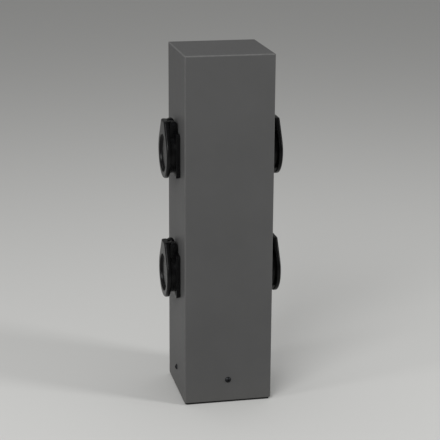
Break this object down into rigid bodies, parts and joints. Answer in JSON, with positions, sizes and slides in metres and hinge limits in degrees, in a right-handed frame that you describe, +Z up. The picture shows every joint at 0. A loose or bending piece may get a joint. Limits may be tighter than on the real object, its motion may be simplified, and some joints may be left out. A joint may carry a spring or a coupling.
{
  "type": "garden socket post",
  "caption": "Square powder-coated garden post with hinged-lid sockets on two opposite faces, side screws near the foot and a bolted base inside.",
  "frame": {"origin": "centre of the foot on the floor", "axes": "+Z up along the column, the plain front face towards -Y, sockets on the -X and +X faces"},
  "size_m": [0.1316, 0.104, 0.4],
  "materials": {
    "coat": "satin fine-texture powder coat, dark grey",
    "black_plastic": "semi-gloss moulded black plastic",
    "rubber": "matt black moulded rubber",
    "black_steel": "black oxide on steel",
    "zinc_steel": "bright zinc plate",
    "spring_steel": "drawn stainless wire",
    "nickel_brass": "nickel-plated brass strip",
    "brass": "machined brass",
    "copper": "bare copper strip",
    "tinned_copper": "tinned copper",
    "pale_plastic": "pale glass-filled plastic",
    "grey_plastic": "grey moulded plastic",
    "clear_plastic": "clear polycarbonate",
    "inner_plastic": "black polyamide",
    "brown_insulation": "extruded brown PVC",
    "blue_insulation": "extruded blue PVC",
    "green_yellow_insulation": "extruded green and yellow striped PVC"
  },
  "bodies": {
    "post": {"column_sleeve": "coat", "top_cap": "coat", "base_plate": "zinc_steel", "foot_gasket": "rubber", "sleeve_screws": "black_steel", "rivet_nuts": "zinc_steel", "cable_grommet": "rubber", "terminal_bracket": "zinc_steel", "bracket_screws": "zinc_steel", "connector_holder": "grey_plastic", "splice_connectors": "clear_plastic", "splice_bars": "copper", "strain_relief_base": "inner_plastic", "strain_relief_strap": "inner_plastic", "strain_relief_screws": "zinc_steel", "earth_studs": "brass", "ring_lugs": "tinned_copper", "live_wires": "brown_insulation", "neutral_wires": "blue_insulation", "earth_wires": "green_yellow_insulation", "flange_screws": "black_steel", "flange_nuts": "zinc_steel", "terminal_screws": "zinc_steel", "socket_housing_left_upper": "black_plastic", "socket_housing_left_lower": "black_plastic", "socket_housing_right_upper": "black_plastic", "socket_housing_right_lower": "black_plastic", "flange_gasket_left_upper": "rubber", "flange_gasket_left_lower": "rubber", "flange_gasket_right_upper": "rubber", "flange_gasket_right_lower": "rubber", "contact_carrier_left_upper": "pale_plastic", "contact_carrier_left_lower": "pale_plastic", "contact_carrier_right_upper": "pale_plastic", "contact_carrier_right_lower": "pale_plastic", "line_contacts_left_upper": "brass", "line_contacts_left_lower": "brass", "line_contacts_right_upper": "brass", "line_contacts_right_lower": "brass", "earth_clip_left_upper": "nickel_brass", "earth_clip_left_lower": "nickel_brass", "earth_clip_right_upper": "nickel_brass", "earth_clip_right_lower": "nickel_brass", "hinge_pin_left_upper": "black_steel", "hinge_pin_left_lower": "black_steel", "hinge_pin_right_upper": "black_steel", "hinge_pin_right_lower": "black_steel", "lid_spring_left_upper": "spring_steel", "lid_spring_left_lower": "spring_steel", "lid_spring_right_upper": "spring_steel", "lid_spring_right_lower": "spring_steel"},
    "left_upper_lid": {"lid_left_upper": "black_plastic", "lid_seal_left_upper": "rubber"},
    "left_lower_lid": {"lid_left_lower": "black_plastic", "lid_seal_left_lower": "rubber"},
    "right_upper_lid": {"lid_right_upper": "black_plastic", "lid_seal_right_upper": "rubber"},
    "right_lower_lid": {"lid_right_lower": "black_plastic", "lid_seal_right_lower": "rubber"}
  },
  "joints": [
    {"name": "left_upper_lid_hinge", "type": "hinge", "parent": "post", "child": "left_upper_lid", "pos_m": [-0.0558, 0, 0.3175], "axis": [0, 1, 0], "range_deg": [0, 100], "stiffness_Nm_per_rad": 0.015, "springref_deg": -34.38},
    {"name": "left_lower_lid_hinge", "type": "hinge", "parent": "post", "child": "left_lower_lid", "pos_m": [-0.0558, 0, 0.178], "axis": [0, 1, 0], "range_deg": [0, 100], "stiffness_Nm_per_rad": 0.015, "springref_deg": -34.38},
    {"name": "right_upper_lid_hinge", "type": "hinge", "parent": "post", "child": "right_upper_lid", "pos_m": [0.0558, 0, 0.3175], "axis": [0, -1, 0], "range_deg": [0, 100], "stiffness_Nm_per_rad": 0.015, "springref_deg": -34.38},
    {"name": "right_lower_lid_hinge", "type": "hinge", "parent": "post", "child": "right_lower_lid", "pos_m": [0.0558, 0, 0.178], "axis": [0, -1, 0], "range_deg": [0, 100], "stiffness_Nm_per_rad": 0.015, "springref_deg": -34.38}
  ]
}
